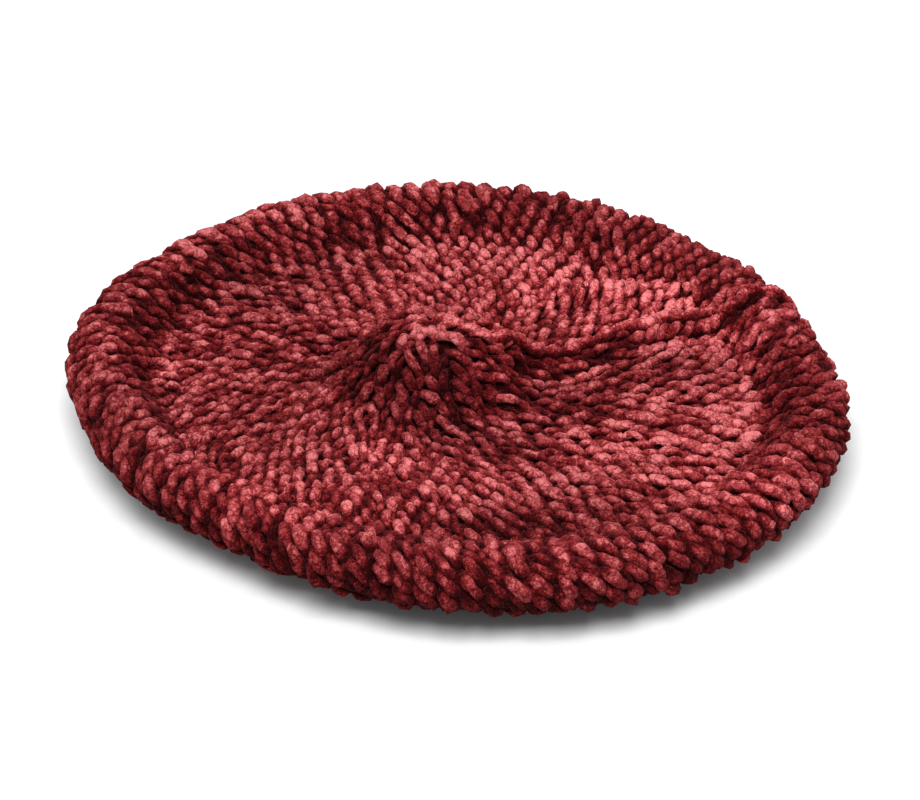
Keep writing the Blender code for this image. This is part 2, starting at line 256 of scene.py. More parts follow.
def outline(phi):
    """How far the rim strays from a circle: slow waves, then the small dents and bulges."""
    out = (-0.0064 * np.sin(2 * phi) - 0.0019 * np.cos(3 * phi)
           + 0.0010 * np.cos(4 * phi) - 0.0009 * np.sin(4 * phi))
    for centre, growth, spread in RIM_DENTS:
        off = np.remainder(phi - math.radians(centre) + math.pi, 2 * math.pi) - math.pi
        out = out + growth * gauss(off / math.radians(spread))
    return out


def ridge(x, y, path, height, width, ditch=0.35):
    """A soft fold along a path of (x, y), with a shallow ditch on either side."""
    nearest = np.full(x.shape, 1e9)
    along = np.zeros(x.shape)
    total = 0.0
    for (ax, ay), (bx, by) in zip(path, path[1:]):
        vx, vy = bx - ax, by - ay
        length = math.hypot(vx, vy)
        t = np.clip(((x - ax) * vx + (y - ay) * vy) / length**2, 0, 1)
        distance = np.hypot(x - ax - t * vx, y - ay - t * vy)
        closer = distance < nearest
        nearest = np.where(closer, distance, nearest)
        along = np.where(closer, total + t * length, along)
        total += length
    ends = rise(along, 0, 0.18 * total) * fall(along, total, 0.12 * total)
    across = nearest / width
    ditch = ditch * (1 - 0.8 * rise(along / total, 0.45, 0.2))
    return height * ends * (gauss(across) - ditch * gauss((across - 2.3) / 0.8))


def swell(x, y, centre_x, centre_y, height, spread_x, spread_y, turn=0.0):
    """A smooth oval hill, or a hollow where height is negative."""
    c, s = math.cos(turn), math.sin(turn)
    dx, dy = x - centre_x, y - centre_y
    u, v = (dx * c + dy * s) / spread_x, (-dx * s + dy * c) / spread_y
    return height * np.exp(-0.5 * (u * u + v * v))


def relief(x, y, s):
    """How far the crown's soft folds stand above the smooth shape."""
    z = np.zeros_like(x)
    for path, height, width in FOLDS:
        z += ridge(x, y, path, height, width)
    for row in SWELLS:
        z += swell(x, y, *row)
    # pleats radiate from the gathered centre
    knob_x, knob_y = x - SHIFT_X - DRIFT[0], y - DRIFT[1]
    r, angle = np.hypot(knob_x, knob_y), np.arctan2(knob_y, knob_x)
    pleat = (np.sin(9 * angle + 0.9 * np.sin(2 * angle + 1.0) + 0.6) * 0.6
             + np.sin(5 * angle + 2.1) * 0.4)
    z += 0.0019 * pleat * rise(r, 0.008, 0.012) * (1 - rise(r, 0.026, 0.040))
    flat = np.stack([x, y, np.zeros_like(x)], 1)
    z += 0.0013 * value_noise(flat, 0.026, 3) + 0.0006 * value_noise(flat, 0.012, 4)
    # the roll tips over its own inner slope along the front and, less, the sides
    phi = np.arctan2(y - RIM_SHIFT[1], x - RIM_SHIFT[0])
    r = np.hypot(x - RIM_SHIFT[0], y - RIM_SHIFT[1]) - outline(phi)
    front = 0.35 + 0.65 * fall(np.sin(phi), 0.25, 0.9)
    z -= 0.0042 * front * fall(np.sin(phi), 0.75, 0.5) * gauss((r - 0.1095) / 0.0055)
    z = z * rise(s - CREST_S, 0.004, 0.016)
    z += ridge(x, y, SEAM_PATH, 0.0042, 0.0040, 0.45) * rise(s - OUTER_S, 0.004, 0.012)
    return z


def painted_top_light(s, normal_z, phi):
    """0..1: painted light: bright where the fabric faces up on top; painted shade on slopes, on the
    roll and under it.
    """
    wall = rise(radius_at(s), 0.106, 0.014)
    side = rise(np.cos(phi - 0.60), -0.35, 1.2)
    front = rise(-np.sin(phi), 0.55, 0.4)
    steep = 1 - wall * np.clip(0.04 + 0.40 * side + 0.22 * front, 0, 1)
    inside = np.clip((normal_z - 0.60) / 0.39, 0, 1) * steep
    outer = fall(s, CREST_S - 0.002, 0.008)
    low = 0.52 + 0.48 * rise(s - OUTER_S, -0.007, 0.011)
    return inside * (1 - outer) + (0.78 - 0.10 * side - 0.18 * front) * low * outer


def painted_light_and_shade(x, y, s, phi):
    """Brightness around 1 with painted light and shade: broad painted shading, then the soft
    patches.
    """
    edge = rise(np.hypot(x, y), 0.100, 0.02)
    # painted light and shade: the edge darker, and lighter at the back
    tone = 0.90 + edge * (-0.15 + 0.34 * rise(np.sin(phi), 0.50, 0.4))
    for patch in LIGHT_AND_SHADE_PATCHES:
        tone = tone + swell(x, y, *patch)
    # painted shade on the underside and the lower roll, at the front
    under = 1 - rise(s - OUTER_S, -0.004, 0.010)
    tone = tone * (1 - 0.30 * under * rise(-np.sin(phi), 0.35, 0.5))
    # painted shade: the edge is darker at the front, the back and the left
    tone = tone * (1 - 0.14 * edge * rise(-np.sin(phi), 0.20, 0.5))
    tone = tone * (1 - 0.08 * edge * rise(np.sin(phi), 0.80, 0.15))
    tone = tone * (1 - 0.14 * edge * rise(-np.cos(phi), 0.70, 0.25))
    # and so, with painted shade, is the roll's inner wall at the right
    wall = rise(radius_at(s), 0.108, 0.012) * rise(s - CREST_S, -0.006, 0.010)
    tone = tone * (1 - 0.34 * wall * rise(np.cos(phi - 0.50), 0.45, 0.4))
    return np.clip(tone, 0.42, 1.7)


def surface(s, phi):
    """The mid-surface of the lying fabric; past the centre it drops straight down."""
    r = radius_at(s)
    z = np.interp(s, MERIDIAN_S, MERIDIAN[:, 1])
    past = np.clip(s - LENGTH, 0, None)
    spread = rim_share(r)
    rim_zone = rise(r, 0.105, 0.02)
    around = polar(1.0, phi, np.zeros_like(phi))
    grown = r + outline(phi) * spread
    grown = grown + 0.0011 * value_noise(around, 0.21, 11) * rim_zone
    slump = SHIFT_X * (1.0 - rise(r, 0.015, 0.075)) * rise(s, CREST_S, 0.02)
    x = grown * np.cos(phi) + slump + RIM_SHIFT[0] * spread
    y = grown * np.sin(phi) + RIM_SHIFT[1] * spread
    x = x + DRIFT[0] * slump / SHIFT_X
    y = y + DRIFT[1] * slump / SHIFT_X
    z = z + relief(x, y, s) - past * 0.9
    z = z + rim_zone * (0.0008 * value_noise(around + 7.0, 0.30, 12)
                        + 0.0008 * np.cos(phi - math.pi))
    return np.stack([x, y, z], 1)


def surface_frame(s, phi):
    """Position and outward normal of the fabric's mid-surface."""
    step = 0.0004
    turn = step / np.maximum(radius_at(s), 0.002)
    along = surface(s + step, phi) - surface(s - step, phi)
    around = surface(s, phi + turn) - surface(s, phi - turn)
    return surface(s, phi), unit(np.cross(around, along))


# ------------------------------------------------------------------ yarn
def tangents(path, closed):
    if closed:
        return unit(np.roll(path, -1, 0) - np.roll(path, 1, 0))
    return unit(np.gradient(path, axis=0))


def tube_mesh(path, normal, radius, sides, seed, closed=True, fluff=1.0, depth=None, pile=None):
    """Vertices, quads and pile values of a fluffy yarn along path (N, 3).

    depth is the path's height over the fabric and pile is two values per path point: painted top
    light with tone, and painted shade with patches.
    An open yarn gets one more vertex beyond each end, for the caps.
    """
    n = len(path)
    tangent = tangents(path, closed)
    side = unit(np.cross(tangent, normal))
    up = np.cross(side, tangent)
    stagger = (np.arange(n) % 2)[:, None] * (math.pi / sides)
    angle = (np.arange(sides) * (2 * math.pi / sides))[None, :] + stagger
    out = np.cos(angle)[:, :, None] * up[:, None, :] + np.sin(angle)[:, :, None] * side[:, None, :]
    flat = (path[:, None, :] + out * radius[:, None, None]).reshape(-1, 3)
    lump = 0.55 * value_noise(flat, 0.0025, seed) + 0.45 * value_noise(flat, 0.0012, seed + 1)
    fine = value_noise(flat, 0.0006, seed + 2)
    grow = fluff * (0.00074 * lump + 0.00044 * fine)
    verts = flat + out.reshape(-1, 3) * grow[:, None]
    if depth is None:
        depth = np.zeros(n)
    if pile is None:
        pile = (np.full(n, 0.6), np.ones(n))
    painted_light_and_tone, light_and_shade_tone = pile
    lift = depth[:, None] + np.einsum("nsk,nk->ns", out, normal) * radius[:, None]
    values = np.stack([lift.ravel(), np.repeat(painted_light_and_tone, sides), np.repeat(light_and_shade_tone, sides)], 1)
    ring = np.arange(n if closed else n - 1)[:, None]
    following = (ring + 1) % n
    j = np.arange(sides)[None, :]
    j_next = (j + 1) % sides
    quads = np.stack([ring * sides + j, ring * sides + j_next,
                      following * sides + j_next, following * sides + j], 2).reshape(-1, 4)
    if not closed:
        verts = np.concatenate([verts, path[:1] - tangent[:1] * radius[0] * 0.6,
                                path[-1:] + tangent[-1:] * radius[-1] * 0.6])
        values = np.concatenate([values, [[0.002, painted_light_and_tone[0], light_and_shade_tone[0]], [0.002, painted_light_and_tone[-1], light_and_shade_tone[-1]]]])
    return verts, quads, values


def add_mesh(name, chunks, material, caps=()):
    """One object from tube_mesh chunks; caps are (chunk, rings, sides) with closed ends."""
    verts, faces, tris, values, base = [], [], [], [], 0
    for index, (chunk_verts, quads, chunk_values) in enumerate(chunks):
        verts.append(chunk_verts)
        faces.append(quads + base)
        values.append(chunk_values)
        for chunk, rings, sides in caps:
            if chunk == index:
                first = base + rings * sides
                last = first + 1
                j = np.arange(sides)
                j_next = (j + 1) % sides
                tris.append(np.stack([np.full(sides, first), base + j_next, base + j], 1))
                end = base + (rings - 1) * sides
                tris.append(np.stack([np.full(sides, last), end + j, end + j_next], 1))
        base += len(chunk_verts)
    verts, faces, values = (np.concatenate(parts) for parts in (verts, faces, values))
    tri = np.concatenate(tris) if tris else np.zeros((0, 3), int)
    loops = np.concatenate([faces.ravel(), tri.ravel()]).astype(np.int32)
    starts = np.concatenate([np.arange(len(faces)) * 4,
                             len(faces) * 4 + np.arange(len(tri)) * 3]).astype(np.int32)
    mesh = bpy.data.meshes.new(name)
    mesh.vertices.add(len(verts))
    mesh.vertices.foreach_set("co", verts.astype(np.float32).ravel())
    mesh.loops.add(len(loops))
    mesh.loops.foreach_set("vertex_index", loops)
    mesh.polygons.add(len(starts))
    mesh.polygons.foreach_set("loop_start", starts)
    mesh.update(calc_edges=True)
    # lift is stored in millimetres
    for label, column, scale in (("lift", 0, 1000), ("painted_light_and_tone", 1, 1), ("light_and_shade_tone", 2, 1)):
        attribute = mesh.attributes.new(label, "FLOAT", "POINT")
        attribute.data.foreach_set("value", (values[:, column] * scale).astype(np.float32))
    mesh.validate()
    return add_object(name, mesh, material)


def add_object(name, mesh, material):
    mesh.shade_smooth()
    mesh.materials.append(material)
    obj = bpy.data.objects.new(name, mesh)
    bpy.context.scene.collection.objects.link(obj)
    return obj


def attach(obj, body, replaced=None):
    if body:
        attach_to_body(obj, body)
    if replaced:
        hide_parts(replaced)


def sector_stitches(per_sector):
    """Start angles and widths of stitches; each sector's last one takes up the remainder."""
    count = max(1, int(round(per_sector)))
    sector = np.repeat(np.arange(SECTORS), count)
    index = np.tile(np.arange(count), SECTORS)
    low = index / per_sector
    high = np.where(index == count - 1, 1.0, (index + 1) / per_sector)
    sector_angle = 2 * math.pi / SECTORS
    return SEAM_ANGLE + (sector + low) * sector_angle, (high - low) * sector_angle


def even_stitches(count):
    width = 2 * math.pi / count
    return SEAM_ANGLE + np.arange(count) * width, np.full(count, width)


def course(s0, spacing, stitches, seed, steps, depth, radius=YARN, reach=0.97, rib=False,
           wild=1.25, hang=0.0, lead_by=0.85, skew=0.17, sink=0.0005, room=0.36, leaf=0.0):
    """One course of loops at meridian position s0, as the path arguments of tube_mesh.

    reach: loop height over spacing; depth: how far loops arch; wild: irregularity;
    hang: lift of the outer ends; lead_by: how far first legs ride over second legs;
    skew: slant of the loops; sink: drop into the fabric; room: most radius per stitch width;
    leaf: swelling of the legs' middles.
    """
    random = np.random.default_rng(seed)
    start, width = stitches
    n = len(start)

    def jitter(amount):
        return wild * random.normal(0, amount, n)[:, None]

    turn = (np.arange(steps) + 0.5) / steps * 2 * math.pi
    # even out the spacing along the yarn: loops are long, so warp the turn a little
    turn = turn - 0.18 * np.sin(2 * turn)
    swelling = -np.cos(2 * np.tile(turn, n))
    turn = turn[None, :]
    tight = 0.88 * (1 + jitter(0.03))
    bulge = 0.215 * (1 + jitter(0.10))
    x = 0.5 + tight * (turn / (2 * math.pi) + bulge * np.sin(2 * turn) - 0.5)
    x = x - (1 - tight) * 0.5 * np.cos(turn / 2) ** 5

    # towards the rim the first legs become one fat cord per wale
    r0 = radius_at(s0)
    right = rise(np.cos(start), -0.25, 0.9)[:, None]
    back = rise(np.sin(start), 0.35, 0.5)[:, None]
    cord = (0.15 + 0.75 * np.maximum(right, 0.6 * back)) * rise(r0, 0.050, 0.040)
    on_rim = rise(r0, 0.100, 0.020)
    cord = np.maximum(cord, on_rim * (0.55 + 0.35 * np.maximum(right, back)))
    facing_out = 0.0 if rib else fall(s0, CREST_S + 0.004, 0.008)
    cord = cord * (0.0 if rib else 1.0 - 0.40 * facing_out)
    slant = skew + 0.24 * facing_out

    loop_height = reach * spacing * (1 + jitter(0.07))
    y = -loop_height * np.cos(turn) + jitter(0.00035)
    x = x + (slant + jitter(0.05)) * np.cos(turn) + jitter(0.035)
    # the first leg of each loop rides over the second
    lead = (lead_by + jitter(0.28)) * np.sin(turn)
    first = np.clip(lead, 0, 1.4)
    second = np.clip(-lead, 0, 1.4)
    arch = -(depth * (1 + jitter(0.12))) * np.cos(2 * turn)
    height_jitter = jitter(0.00030)
    if rib:
        # alternate stitches stand out and in
        sign = np.where(np.arange(n) % 2 == 0, 1.0, -1.0)[:, None]
        z = arch * sign * np.sqrt(np.abs(np.sin(turn / 2)))
        z = z + sign * 0.0007 * np.sin(turn / 2) ** 2
    else:
        z = arch + 0.0008 * (1 + 0.4 * cord) * first + height_jitter - sink
        z = z - (0.0008 + 0.0010 * cord) * second
        # on the knob the outer ends hang free, like scales
        z = z + hang * (0.35 + 0.65 * np.cos(turn)) * np.abs(np.sin(turn)) ** 0.7
    phi = (start[:, None] + x * width[:, None]).ravel()
    s, z = (s0 + y).ravel(), z.ravel()
    point, normal = surface_frame(s, phi)
    path = point + normal * z[:, None]
    coarse, fine = vector_noise(path, 0.0065, seed + 1), vector_noise(path, 0.0032, seed + 4)
    path = path + 0.00074 * coarse + 0.00038 * fine

    cord = np.broadcast_to(cord, first.shape).ravel()
    thick = radius * (0.88 + 0.14 * cord + (0.25 + 0.12 * leaf) * swelling
                      + (0.13 + 0.10 * cord) * first.ravel()
                      - (0.04 + 0.24 * cord) * second.ravel())
    thick = thick * (1 + 0.17 * value_noise(path, 0.0070, seed + 9))
    # the yarn flattens where its neighbours crowd it
    local_r = np.maximum(radius_at(s), 0.0012)
    thick = np.minimum(thick, np.maximum(np.repeat(width, steps) * local_r * room, 0.00070))
    # painted light: top-facing yarn lighter, painted shade on the second legs under the cords; leg
    # middles and first legs lighter, with random tone
    painted_light_and_tone = (painted_top_light(s, normal[:, 2], phi) - 0.22 * cord * second.ravel()
           + (0.06 + 0.30 * leaf) * swelling)
    painted_light_and_tone = painted_light_and_tone + ((0.06 + jitter(0.07)) * first + jitter(0.07) * second + jitter(0.04)).ravel()
    return dict(path=path, normal=normal, radius=thick, depth=z,
                pile=(painted_light_and_tone, painted_light_and_shade(path[:, 0], path[:, 1], s, phi)))


# ------------------------------------------------------------------ materials
def new_material(name):
    material = bpy.data.materials.new(name)
    material.use_nodes = True
    tree = material.node_tree
    return material, tree, tree.nodes["Principled BSDF"]


def set_inputs(node, values):
    for key, value in values.items():
        node.inputs[key].default_value = value


def add_node(tree, kind, vector=None, **inputs):
    """A node with its inputs set, and its Vector input linked where one is given."""
    node = tree.nodes.new(kind)
    set_inputs(node, inputs)
    if vector is not None:
        tree.links.new(vector, node.inputs["Vector"])
    return node


def add_math(tree, operation, a, b, clamp=False):
    node = tree.nodes.new("ShaderNodeMath")
    node.operation = operation
    node.use_clamp = clamp
    for i, value in enumerate((a, b)):
        if isinstance(value, (int, float)):
            node.inputs[i].default_value = value
        else:
            tree.links.new(value, node.inputs[i])
    return node.outputs[0]


def remap(tree, value, low, high, to_low=0.0, to_high=1.0, kind="SMOOTHSTEP"):
    node = tree.nodes.new("ShaderNodeMapRange")
    node.interpolation_type = kind
    set_inputs(node, {"From Min": low, "From Max": high, "To Min": to_low, "To Max": to_high})
    tree.links.new(value, node.inputs["Value"])
    return node.outputs["Result"]


def attribute_value(tree, name):
    node = tree.nodes.new("ShaderNodeAttribute")
    node.attribute_name = name
    return node.outputs["Fac"]


def separate_xyz(tree, vector):
    return add_node(tree, "ShaderNodeSeparateXYZ", vector).outputs


def add_bump(tree, bsdf, height, strength, distance):
    bump = add_node(tree, "ShaderNodeBump", Strength=strength, Distance=distance)
    tree.links.new(height, bump.inputs["Height"])
    tree.links.new(bump.outputs["Normal"], bsdf.inputs["Normal"])


# Pile colours from deep to bright: position, linear RGB.
PILE_COLOURS = [(0.12, (0.0090, 0.0002, 0.0003)), (0.32, (0.0340, 0.0008, 0.0012)),
                (0.53, (0.0980, 0.0060, 0.0070)), (0.76, (0.2220, 0.0310, 0.0330)),
                (1.00, (0.4200, 0.1080, 0.1110))]


def chenille(name, shade=1.0, seed=0.0):
    """Velvety pile with painted light: bright on top-facing pile and crests, painted shade in the
    gaps and on steep sides.
    """
    material, tree, bsdf = new_material(name)
    link = tree.links.new
    coords = tree.nodes.new("ShaderNodeTexCoord").outputs["Object"]
    mapping = add_node(tree, "ShaderNodeMapping", coords, Location=(seed, seed * 0.7, -seed))
    shifted = mapping.outputs["Vector"]

    def noise(scale, detail, roughness):
        return add_node(tree, "ShaderNodeTexNoise", shifted, Scale=scale, Detail=detail,
                        Roughness=roughness)

    clump = noise(scale=430.0, detail=3.0, roughness=0.65)
    tuft = noise(scale=1300.0, detail=2.0, roughness=0.65)
    broad = noise(scale=45.0, detail=2.0, roughness=0.5)
    middle = noise(scale=130.0, detail=1.5, roughness=0.5)
    fuzz = noise(scale=1500.0, detail=3.0, roughness=0.7)
    warp = noise(scale=520.0, detail=1.0, roughness=0.5)

    # warped cells: the tufts, and the cracks between them
    push = tree.nodes.new("ShaderNodeVectorMath")
    push.operation = "MULTIPLY_ADD"
    link(warp.outputs["Color"], push.inputs[0])
    push.inputs[1].default_value = (0.0034, 0.0034, 0.0034)
    link(shifted, push.inputs[2])
    cells, cracks = [add_node(tree, "ShaderNodeTexVoronoi", push.outputs[0], Scale=310.0,
                              Randomness=1.0) for _ in range(2)]
    cracks.feature = "DISTANCE_TO_EDGE"
    tint = tree.nodes.new("ShaderNodeSeparateColor")
    link(cells.outputs["Color"], tint.inputs[0])
    crack = remap(tree, cracks.outputs["Distance"], low=0.0, high=0.14)
    fuzz_height = add_math(tree, "MULTIPLY", fuzz.outputs["Fac"], 0.7)
    crack_height = add_math(tree, "MULTIPLY", crack, 0.55)
    cell_height = add_math(tree, "MULTIPLY", tint.outputs[1], 0.55)
    height = add_math(tree, "ADD", fuzz_height, add_math(tree, "ADD", crack_height, cell_height))
    add_bump(tree, bsdf, height, strength=1.0, distance=0.00055)

    # pile brightness, with painted light and shade: lighter on crests and top-facing pile, painted
    # shade in the gaps and cracks; a weighted sum, with a constant taken off
    lift = add_math(tree, "ABSOLUTE", attribute_value(tree, "lift"), 0.5)
    crest = remap(tree, lift, low=0.9, high=4.2)
    painted_light_and_tone = attribute_value(tree, "painted_light_and_tone")
    light_and_shade_tone = attribute_value(tree, "light_and_shade_tone")
    geometry = tree.nodes.new("ShaderNodeNewGeometry")
    facing = separate_xyz(tree, geometry.outputs["Normal"])
    top = remap(tree, facing["Z"], low=-0.3, high=1.0, kind="LINEAR")
    clumps = remap(tree, clump.outputs["Fac"], low=0.41, high=0.59, kind="LINEAR")
    mottle = remap(tree, middle.outputs["Fac"], low=0.34, high=0.66, kind="LINEAR")
    tufts = remap(tree, tuft.outputs["Fac"], low=0.39, high=0.61, kind="LINEAR")
    pile = None
    for value, weight in ((clumps, 0.17), (tufts, 0.19), (mottle, 0.12), (tint.outputs[0], 0.26),
                          (crack, 0.14), (crest, 0.48), (painted_light_and_tone, 0.36), (top, 0.10)):
        term = add_math(tree, "MULTIPLY", value, weight)
        pile = term if pile is None else add_math(tree, "ADD", pile, term)
    pile = add_math(tree, "SUBTRACT", pile, 0.582)

    # brighter to the right, in broad patches, and by the painted light and shade carried on the
    # mesh
    place = separate_xyz(tree, coords)
    across = remap(tree, place["X"], low=-0.12, high=0.12, to_low=0.80, to_high=1.20,
                   kind="LINEAR")
    patchy = remap(tree, broad.outputs["Fac"], low=0.3, high=0.7, to_low=0.84, to_high=1.16,
                   kind="LINEAR")
    tone_light_and_shade = add_math(tree, "MULTIPLY", add_math(tree, "MULTIPLY", across, patchy), light_and_shade_tone)
    deeper = add_math(tree, "LOGARITHM", tone_light_and_shade, math.e)
    pile = add_math(tree, "ADD", pile, add_math(tree, "MULTIPLY", deeper, 0.15))
    ramp = tree.nodes.new("ShaderNodeValToRGB")
    elements = ramp.color_ramp.elements
    while len(elements) < len(PILE_COLOURS):
        elements.new(0.5)
    for element, (position, colour) in zip(elements, PILE_COLOURS):
        element.position = position
        element.color = (*[c * shade for c in colour], 1)
    link(pile, ramp.inputs["Fac"])
    tone = tree.nodes.new("ShaderNodeHueSaturation")
    link(add_math(tree, "POWER", tone_light_and_shade, 0.42), tone.inputs["Value"])
    link(ramp.outputs["Color"], tone.inputs["Color"])
    link(tone.outputs["Color"], bsdf.inputs["Base Color"])
    set_inputs(bsdf, {"Roughness": 0.95, "Specular IOR Level": 0.03, "Sheen Weight": 0.10,
                      "Sheen Roughness": 0.45, "Sheen Tint": (1.0, 0.14, 0.16, 1)})
    return material


def plain_cloth(name, colour, roughness, scale, height, sheen=0.0):
    """Fine over-and-under weave, for the label and threads."""
    material, tree, bsdf = new_material(name)
    link = tree.links.new
    coords = tree.nodes.new("ShaderNodeTexCoord").outputs["Object"]
    waves = []
    for axis in ("X", "Z"):
        wave = add_node(tree, "ShaderNodeTexWave", coords, Scale=scale, Distortion=0.4, Detail=1.0)
        wave.wave_type, wave.bands_direction, wave.wave_profile = "BANDS", axis, "SIN"
        waves.append(wave.outputs["Fac"])
    weave = add_math(tree, "MULTIPLY", *waves)
    speck = add_node(tree, "ShaderNodeTexNoise", coords, Scale=900.0, Detail=3.0, Roughness=0.6)
    mix = tree.nodes.new("ShaderNodeMix")
    mix.data_type = "RGBA"
    set_inputs(mix, {"A": (*[c * 0.62 for c in colour], 1), "B": (*colour, 1)})
    shade = add_math(tree, "ADD", add_math(tree, "MULTIPLY", weave, 0.6),
                     add_math(tree, "MULTIPLY", speck.outputs["Fac"], 0.5), clamp=True)
    link(shade, mix.inputs["Factor"])
    link(mix.outputs["Result"], bsdf.inputs["Base Color"])
    add_bump(tree, bsdf, shade, strength=0.8, distance=height)
    set_inputs(bsdf, {"Roughness": roughness, "Sheen Weight": sheen})
    return material


YARN_MAT = chenille("chenille_pile")
BAND_MAT = chenille("rib_pile", shade=0.95, seed=3.0)
SEAM_MAT = chenille("seam_pile", shade=0.92, seed=5.0)
ELASTIC_MAT = plain_cloth("covered_elastic", colour=(0.13, 0.014, 0.019), roughness=0.55,
                          scale=900.0, height=0.00012)
LABEL_MAT = plain_cloth("woven_ribbon", colour=(0.62, 0.57, 0.52), roughness=0.50,
                        scale=420.0, height=0.00010, sheen=0.2)
THREAD_MAT = plain_cloth("sewing_thread", colour=(0.20, 0.026, 0.034), roughness=0.50,
                         scale=1400.0, height=0.00008, sheen=0.2)


# ------------------------------------------------------------------ crown
FIRST_CROWN_S = CREST_S - 0.0125 + COURSE * 0.5   # the rim's outer face belongs to the crown


def crown_positions():
    """Meridian positions of the crown's courses, from the rim in; wider apart on the knob."""
    rows, s = [], FIRST_CROWN_S
    while (r := radius_at(s)) >= 0.0125:
        rows.append(s)
        s += COURSE * (1.0 + 0.16 * fall(r, 0.045, 0.035))
    return rows


def sector_count(s):
    """Stitches in each sector: straight decreases from the rim, then by stitch width."""
    if s <= CREST_S + 0.006:
        return RIM_STITCHES
    r = radius_at(s)
    natural = 2 * math.pi * r / (SECTORS * (0.0066 + 0.0014 * fall(r, 0.048, 0.02)))
    straight = RIM_STITCHES * r / radius_at(CREST_S + 0.006)
    return max(1.0, min(straight, natural) if r > 0.05 else natural)


def backing_ring(s, around, sink, radius, seed):
    """A ring under the loops, painted dark as shade, which closes the gaps between them."""
    def full(value):
        return np.full(len(around), value)

    point, normal = surface_frame(s, around)
    return tube_mesh(point - normal * sink, normal, radius, BACKING_SIDES, seed,
                     depth=full(-0.0005), pile=(full(-0.30), full(0.8)))


def build_crown():
    groups, triangles = [[]], 0
    for j, s in enumerate(crown_positions()):
        r = radius_at(s)
        near = fall(r, 0.044, 0.026)                # 1 on the knob
        rim = 1.0 - rise(s, CREST_S, 0.012)         # 1 on the rim
        row = course(s, COURSE * (1 + 0.16 * near + 0.12 * rim),
                     sector_stitches(sector_count(s)), seed=100 + 7 * j, steps=STEPS,
                     depth=0.00165 + 0.0007 * near, radius=YARN * (0.80 - 0.04 * near + 0.12 * rim),
                     reach=0.97 - 0.10 * rim, wild=1.35 + 0.45 * near, hang=0.0026 * near,
                     leaf=0.40 + 0.60 * near)
        if s > CREST_S - 0.004:
            around = circle(max(36, int(r * 3000)))
            thick = np.full(len(around), 0.0021 + 0.0008 * near)
            ring = backing_ring(s + 0.0003 * np.sin(around * 9 + j) + 0.0012, around,
                                sink=0.0013 + 0.0015 * near,
                                radius=thick * (1 + 0.10 * np.sin(around * 61 + j)), seed=3000 + j)
            groups[-1].append(ring)
            triangles += 2 * len(ring[1])
        loops = tube_mesh(**row, sides=SIDES, seed=500 + j)
        if triangles + 2 * len(loops[1]) > MESH_TRIANGLES:
            groups.append([])
            triangles = 0
        groups[-1].append(loops)
        triangles += 2 * len(loops[1])

    # the last round: six stitches drawn together into petals
    petals = course(LENGTH - 0.0062, 0.0056, even_stitches(6), seed=77, steps=STEPS + 8,
                    depth=0.0010, radius=0.00150, reach=0.93, wild=1.1, hang=0.0006, lead_by=0.4,
                    skew=0.04, sink=-0.0006, room=0.30, leaf=1.0)
    petals["depth"] = petals["depth"] + 0.0012
    groups[-1].append(tube_mesh(**petals, sides=SIDES + 2, seed=480))
    for k, before_end in enumerate((0.0110, 0.0068, 0.0030)):
        groups[-1].append(backing_ring(np.full(36, LENGTH - before_end), circle(36), sink=0.0034,
                                       radius=np.full(36, 0.0026), seed=3900 + k))
    objects = []
    for number, group in enumerate(groups, 1):
        obj = add_mesh(f"crown_knit_{number:02d}", group, YARN_MAT)
        attach(obj, "crown")
        objects.append(obj)
    return objects


# ------------------------------------------------------------------ underside and headband
def positions_down(s, stop, step):
    """Meridian positions from s down to stop, listed upwards."""
    rows = []
    while s > stop:
        rows.append(s)
        s -= step
    return rows[::-1]


UNDER_ROWS = positions_down(FIRST_CROWN_S - COURSE, BAND_S + 0.0035, COURSE)
BAND_ROWS = positions_down(UNDER_ROWS[0] - COURSE, 0.0030, COURSE * 0.98)


def build_underside():
    objects = []
    lift_rows = (len(UNDER_ROWS) + 1) // 2
    for k, s in enumerate(UNDER_ROWS):
        row = course(s, COURSE, sector_stitches(RIM_STITCHES), seed=900 + 7 * k, steps=LOW_STEPS,
                     depth=0.00140)
        obj = add_mesh(f"underside_row_{k + 1:02d}",
                       [tube_mesh(**row, sides=LOW_SIDES, seed=700 + k)], YARN_MAT)
        if k < lift_rows:
            a, b, weight = "headband", "increase_row", (k + 0.6) / lift_rows
        else:
            a, b = "increase_row", "crown"
            weight = (k - lift_rows + 0.6) / (len(UNDER_ROWS) - lift_rows)
        weight = min(0.97, max(0.03, weight))
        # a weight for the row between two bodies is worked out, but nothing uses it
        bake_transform(obj)
        objects.append(obj)
    return objects


def build_headband():
    chunks = []
    for k, s in enumerate(BAND_ROWS):
        row = course(s, COURSE, even_stitches(BAND_STITCHES), seed=1500 + 7 * k, steps=LOW_STEPS,
                     depth=0.0011, rib=True)
        # the yarn stays above the floor
        row["path"][:, 2] = np.maximum(row["path"][:, 2], row["radius"] + 0.0004)
        chunks.append(tube_mesh(**row, sides=LOW_SIDES, seed=1700 + k))
    attach(add_mesh("headband_knit", chunks, BAND_MAT), "headband", "headband")


crown = build_crown()
underside = build_underside()
build_headband()
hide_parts("crown_top")
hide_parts("increase_row")
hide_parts("crown_underside")


# ------------------------------------------------------------------ loose yarns and seams
def rounded_path(points, step):
    """The polyline rounded and resampled to short, even steps."""
    points = np.asarray(points, float)
    along = arc_length(points)
    p = resample(np.linspace(0, along[-1], max(8, int(along[-1] / step))), along, points)
    width = max(3, int(0.003 / step))
    kernel = np.hanning(2 * width + 1)
    kernel /= kernel.sum()
    padded = [2 * p[:1] - p[width:0:-1], p, 2 * p[-1:] - p[-2:-width - 2:-1]]
    return convolve(np.concatenate(padded), kernel)


